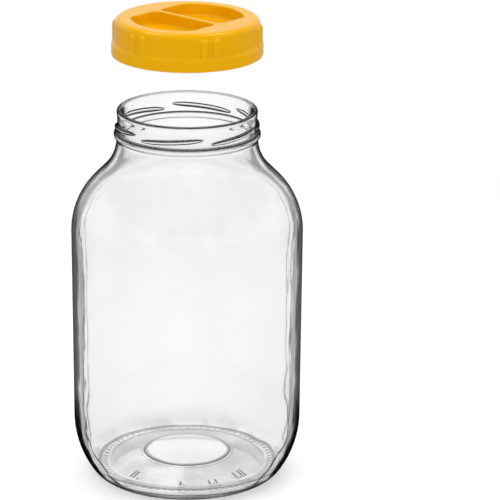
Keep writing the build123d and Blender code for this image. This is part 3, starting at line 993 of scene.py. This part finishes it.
# %% [markdown]
# ## Finger wells
#
# Two half-round wells leave a bar between them to grip the lid by. Each well is a block drawn
# with the same pen and taken out of the top with a boolean. The block's lower edge is bevelled,
# which rounds the well's floor.

# %% Sizes of the wells and the bar
WELL_DEPTH = 8.5 * MM
WELL_RADIUS = SKIRT_TOP_RADIUS - LID_EDGE_RADIUS - 6.9 * MM
WELL_CORNER = 6 * MM
WELL_FLOOR_ROUND = 1.5 * MM
BAR_LENGTH = 2 * (WELL_RADIUS - 10.5 * MM)
BAR_WIDTH = 3.4 * MM
BAR_CORNER = 4 * MM
BAR_AZIMUTH = 47  # degrees
OVERRUN = 1 * MM  # the block stands out of the lid by this much
print("the wells are", WELL_DEPTH / MM, "mm deep and the bar", BAR_WIDTH / MM, "mm wide")


# %% One finger well
def well_cutter():
    """A block in the shape of one finger well, beside a bar that lies along X."""
    end = BAR_LENGTH / 2
    corner_height = math.sqrt((WELL_RADIUS - WELL_CORNER) ** 2 - (end - WELL_CORNER) ** 2)
    corner_turn = math.degrees(math.atan2(corner_height, end - WELL_CORNER))
    plan = Outline(BAR_CORNER - end, BAR_WIDTH / 2, up=(0, 1, 0))
    plan.straight(BAR_LENGTH - 2 * BAR_CORNER)
    plan.bend(BAR_CORNER, 90, pieces=6)
    plan.straight(corner_height - BAR_WIDTH / 2 - BAR_CORNER)
    plan.bend(WELL_CORNER, corner_turn, pieces=8)
    plan.bend(WELL_RADIUS, 180 - 2 * corner_turn, pieces=48)
    plan.bend(WELL_CORNER, corner_turn, pieces=8)
    plan.straight(corner_height - BAR_WIDTH / 2 - BAR_CORNER)
    plan.bend(BAR_CORNER, 90, pieces=6)
    block = plan.mesh
    bmesh.ops.remove_doubles(block, verts=block.verts[:], dist=MERGE_DISTANCE)
    bmesh.ops.contextual_create(block, geom=block.edges[:])
    top = bmesh.ops.extrude_face_region(block, geom=block.faces[:])["geom"]
    top_verts = [item for item in top if isinstance(item, bmesh.types.BMVert)]
    bmesh.ops.translate(block, verts=top_verts, vec=(0, 0, WELL_DEPTH + OVERRUN))
    bmesh.ops.recalc_face_normals(block, faces=block.faces[:])
    foot = [edge for edge in block.edges if all(vert.co.z < OVERRUN for vert in edge.verts)]
    bmesh.ops.bevel(
        block, geom=foot, offset=WELL_FLOOR_ROUND, segments=4, profile=0.5, affect="EDGES",
        material=-1)
    bmesh.ops.translate(block, verts=block.verts[:], vec=(0, 0, LID_HEIGHT - WELL_DEPTH))
    return block


print("the cutter is ready")


# %% Place both wells
def turned(degrees):
    """A turn round the axis."""
    return Matrix.Rotation(math.radians(degrees), 3, "Z")


wells = []
for half in range(2):
    block = well_cutter()
    bmesh.ops.rotate(
        block, verts=block.verts[:], cent=(0, 0, 0), matrix=turned(BAR_AZIMUTH - 90 + 180 * half))
    wells.append(plain_object("well_" + str(half), block))
print(len(wells), "wells beside a bar that points", BAR_AZIMUTH, "degrees from the front")

# %% [markdown]
# ## Ribs and lugs
#
# Six pairs of upright ribs give the hand a hold, and six small lugs inside catch the ridges of
# the glass. They could be drawn as part of one complicated outline; instead each rib is a bevelled
# block and each lug a plain one, turned round the axis to its place. They only have to overlap
# the shell, since the next step joins everything.

# %% Ribs
RIB_PAIRS = 6
RIB_PAIR_AZIMUTH = 18  # degrees
RIB_SPACING = 9.8  # degrees
RIB_WIDTH = 4.2 * MM
RIB_DEPTH = 2.6 * MM
RIB_PROUD = 1.4 * MM
RIB_TOP = LID_HEIGHT - 4.4 * MM
RIB_FOOT = 7 * MM
RIB_FLANK = 1.45  # how much wider a rib is at its root
RIB_ROUND = 0.49  # of its width; half would leave no face between the two arcs


def add_rib(mesh, azimuth):
    """A pad with a round top and sloping flanks, against the skirt."""
    length = RIB_TOP - RIB_FOOT
    size = Matrix.Diagonal((RIB_WIDTH, RIB_DEPTH, length, 1))
    pad = bmesh.ops.create_cube(mesh, size=1, matrix=size)["verts"]
    top_corners = {
        edge for vert in pad for edge in vert.link_edges
        if all(v.co.z > 0 for v in edge.verts)
        and abs(edge.verts[0].co.y - edge.verts[1].co.y) > RIB_DEPTH / 2}
    bmesh.ops.bevel(
        mesh, geom=list(top_corners), offset=RIB_WIDTH * RIB_ROUND, segments=8, profile=0.5,
        affect="EDGES", material=-1)
    pad = [v for v in mesh.verts if abs(v.co.x) <= RIB_WIDTH and abs(v.co.y) <= RIB_DEPTH]
    root = [vert for vert in pad if vert.co.y > 0]
    longer = 1 + (RIB_FLANK - 1) * RIB_WIDTH / length
    bmesh.ops.scale(mesh, verts=root, vec=(RIB_FLANK, 1, longer))
    inward = RIB_DEPTH / 2 - SKIRT_RADIUS - RIB_PROUD
    bmesh.ops.translate(mesh, verts=pad, vec=(0, inward, (RIB_TOP + RIB_FOOT) / 2))
    bmesh.ops.rotate(mesh, verts=pad, cent=(0, 0, 0), matrix=turned(azimuth))


pads = bmesh.new()
for pair in range(RIB_PAIRS):
    for side in (-1, 1):
        add_rib(pads, RIB_PAIR_AZIMUTH + 360 / RIB_PAIRS * pair + side * RIB_SPACING / 2)
print(RIB_PAIRS * 2, "ribs")

# %% Lugs
LUG_SIZE = (4.4 * MM, 2.2 * MM, 1.2 * MM)
LUG_SUNK = 0.7 * MM  # how deep a lug is sunk into the band
LUG_HEIGHT = 1 * MM  # of a lug's middle

for start in range(THREAD_STARTS):
    lug = bmesh.ops.create_cube(pads, size=1, matrix=Matrix.Diagonal((*LUG_SIZE, 1)))["verts"]
    inward = LUG_SIZE[1] / 2 - BAND_BORE_RADIUS - LUG_SUNK
    bmesh.ops.translate(pads, verts=lug, vec=(0, inward, LUG_HEIGHT))
    azimuth = math.degrees(RIDGE_AZIMUTH) + 360 / THREAD_STARTS * (start + 0.5)
    bmesh.ops.rotate(pads, verts=lug, cent=(0, 0, 0), matrix=turned(azimuth))
bmesh.ops.recalc_face_normals(pads, faces=pads.faces[:])
print(THREAD_STARTS, "lugs")

# %% [markdown]
# ## One moulding
#
# Booleans leave hard edges and long thin faces. A voxel remesh wraps one even skin over all parts
# at once, and a few rounds of smoothing turn every corner into the small radius that a mould has.
# The objects that were only steps on the way are then removed.

# %% Cut the wells and add the pads
def with_modifiers(piece):
    """Gives a piece the mesh that its modifiers make, and takes them off."""
    evaluated = piece.evaluated_get(bpy.context.evaluated_depsgraph_get())
    made = bpy.data.meshes.new_from_object(evaluated)
    piece.modifiers.clear()
    piece.data = made


ribs_and_lugs = plain_object("ribs_and_lugs", pads)
lid_shell = plain_object("lid_shell", shell.mesh)
for well in wells:
    cut = lid_shell.modifiers.new("well", "BOOLEAN")
    cut.operation = "DIFFERENCE"
    cut.object = well
with_modifiers(lid_shell)
joined = bmesh.new()
joined.from_mesh(lid_shell.data)
joined.from_mesh(ribs_and_lugs.data)
lid_joined = plain_object("lid_joined", joined)
print("the parts have", len(lid_joined.data.polygons), "faces")

# %% One skin over everything
VOXEL = 0.65 * MM
SOFTEN_ROUNDS, SOFTEN_FACTOR = 3, 0.5

remesh = lid_joined.modifiers.new("skin", "REMESH")
remesh.mode = "VOXEL"
remesh.voxel_size = VOXEL
soften = lid_joined.modifiers.new("soften", "SMOOTH")
soften.factor = SOFTEN_FACTOR
soften.iterations = SOFTEN_ROUNDS
with_modifiers(lid_joined)
moulded = bmesh.new()
moulded.from_mesh(lid_joined.data)
bmesh.ops.translate(moulded, verts=moulded.verts[:], vec=(0, 0, LID_FOOT))
for helper in (*wells, ribs_and_lugs, lid_shell, lid_joined):
    bpy.data.objects.remove(helper)
print("the lid's skin has", len(moulded.faces), "faces")

# %% [markdown]
# ## Yellow plastic
#
# The lid is glossy moulded plastic of one strong colour. One flat colour would look like a
# drawing. Slow noise varies the colour and gloss slightly, as flow in a mould does, and a very
# fine bump keeps the reflections from being perfect.

# %% Lid plastic
DEEP_YELLOW, LIGHT_YELLOW = (0.80, 0.395, 0.0), (0.84, 0.425, 0.0)
FLOW_SCALE = 30
GLOSSY, DULLER = 0.12, 0.18  # roughness
GRAIN_SCALE = 900


def relief(tree, pattern, strength, depth):
    """A bump from a pattern, for a shader's Normal."""
    return add_node(
        tree, "Bump", inputs={"Strength": strength, "Distance": depth, "Height": pattern})[0]


yellow_plastic, tree = new_material("yellow_plastic")
place = add_node(tree, "TexCoord")["Object"]
flow = speckle(tree, place, FLOW_SCALE, Detail=3, Roughness=0.5)
grain = speckle(tree, place, GRAIN_SCALE, Detail=2)
plastic = add_node(tree, "BsdfPrincipled", inputs={
    "Base Color": ramp(tree, flow, [(NOISE_LOW, DEEP_YELLOW), (NOISE_HIGH, LIGHT_YELLOW)]),
    "Roughness": remap(tree, flow, NOISE_LOW, NOISE_HIGH, GLOSSY, DULLER, smooth=False),
    "Normal": relief(tree, grain, strength=0.03, depth=0.1 * MM),
    "IOR": 1.5, "Specular IOR Level": 0.13})
add_node(tree, "OutputMaterial", inputs={"Surface": plastic[0]})
finish_piece("moulded_lid", moulded, "lid", yellow_plastic, "screw_lid")

# %% [markdown]
# ## Liner foam
#
# The disc in the lid keeps its measured shape, a plain flat disc of foam, and only gets its
# finish: nearly white, matt and with fine cells. It could be modelled anew with rounded edges,
# but the lid hides all of it except its underside.

# %% Liner foam
# The darker tone lies in the hollows of the cells' bump, a painted shade.
FOAM_SHADOW, FOAM_WHITE = (0.80, 0.80, 0.77), (0.88, 0.88, 0.86)
CELL_SCALE = 1500

white_foam, tree = new_material("white_foam")
cells = speckle(tree, add_node(tree, "TexCoord")["Object"], CELL_SCALE, Detail=2)
foam = add_node(tree, "BsdfPrincipled", inputs={
    "Base Color": ramp(tree, cells, [(NOISE_LOW, FOAM_SHADOW), (NOISE_HIGH, FOAM_WHITE)]),
    "Normal": relief(tree, cells, strength=0.2, depth=0.1 * MM),
    "Roughness": 0.6, "IOR": 1.45})
add_node(tree, "OutputMaterial", inputs={"Surface": foam[0]})
liner_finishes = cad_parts["seal_liner"].data.materials
liner_finishes.clear()
liner_finishes.append(white_foam)
print("the liner gets", white_foam.name)
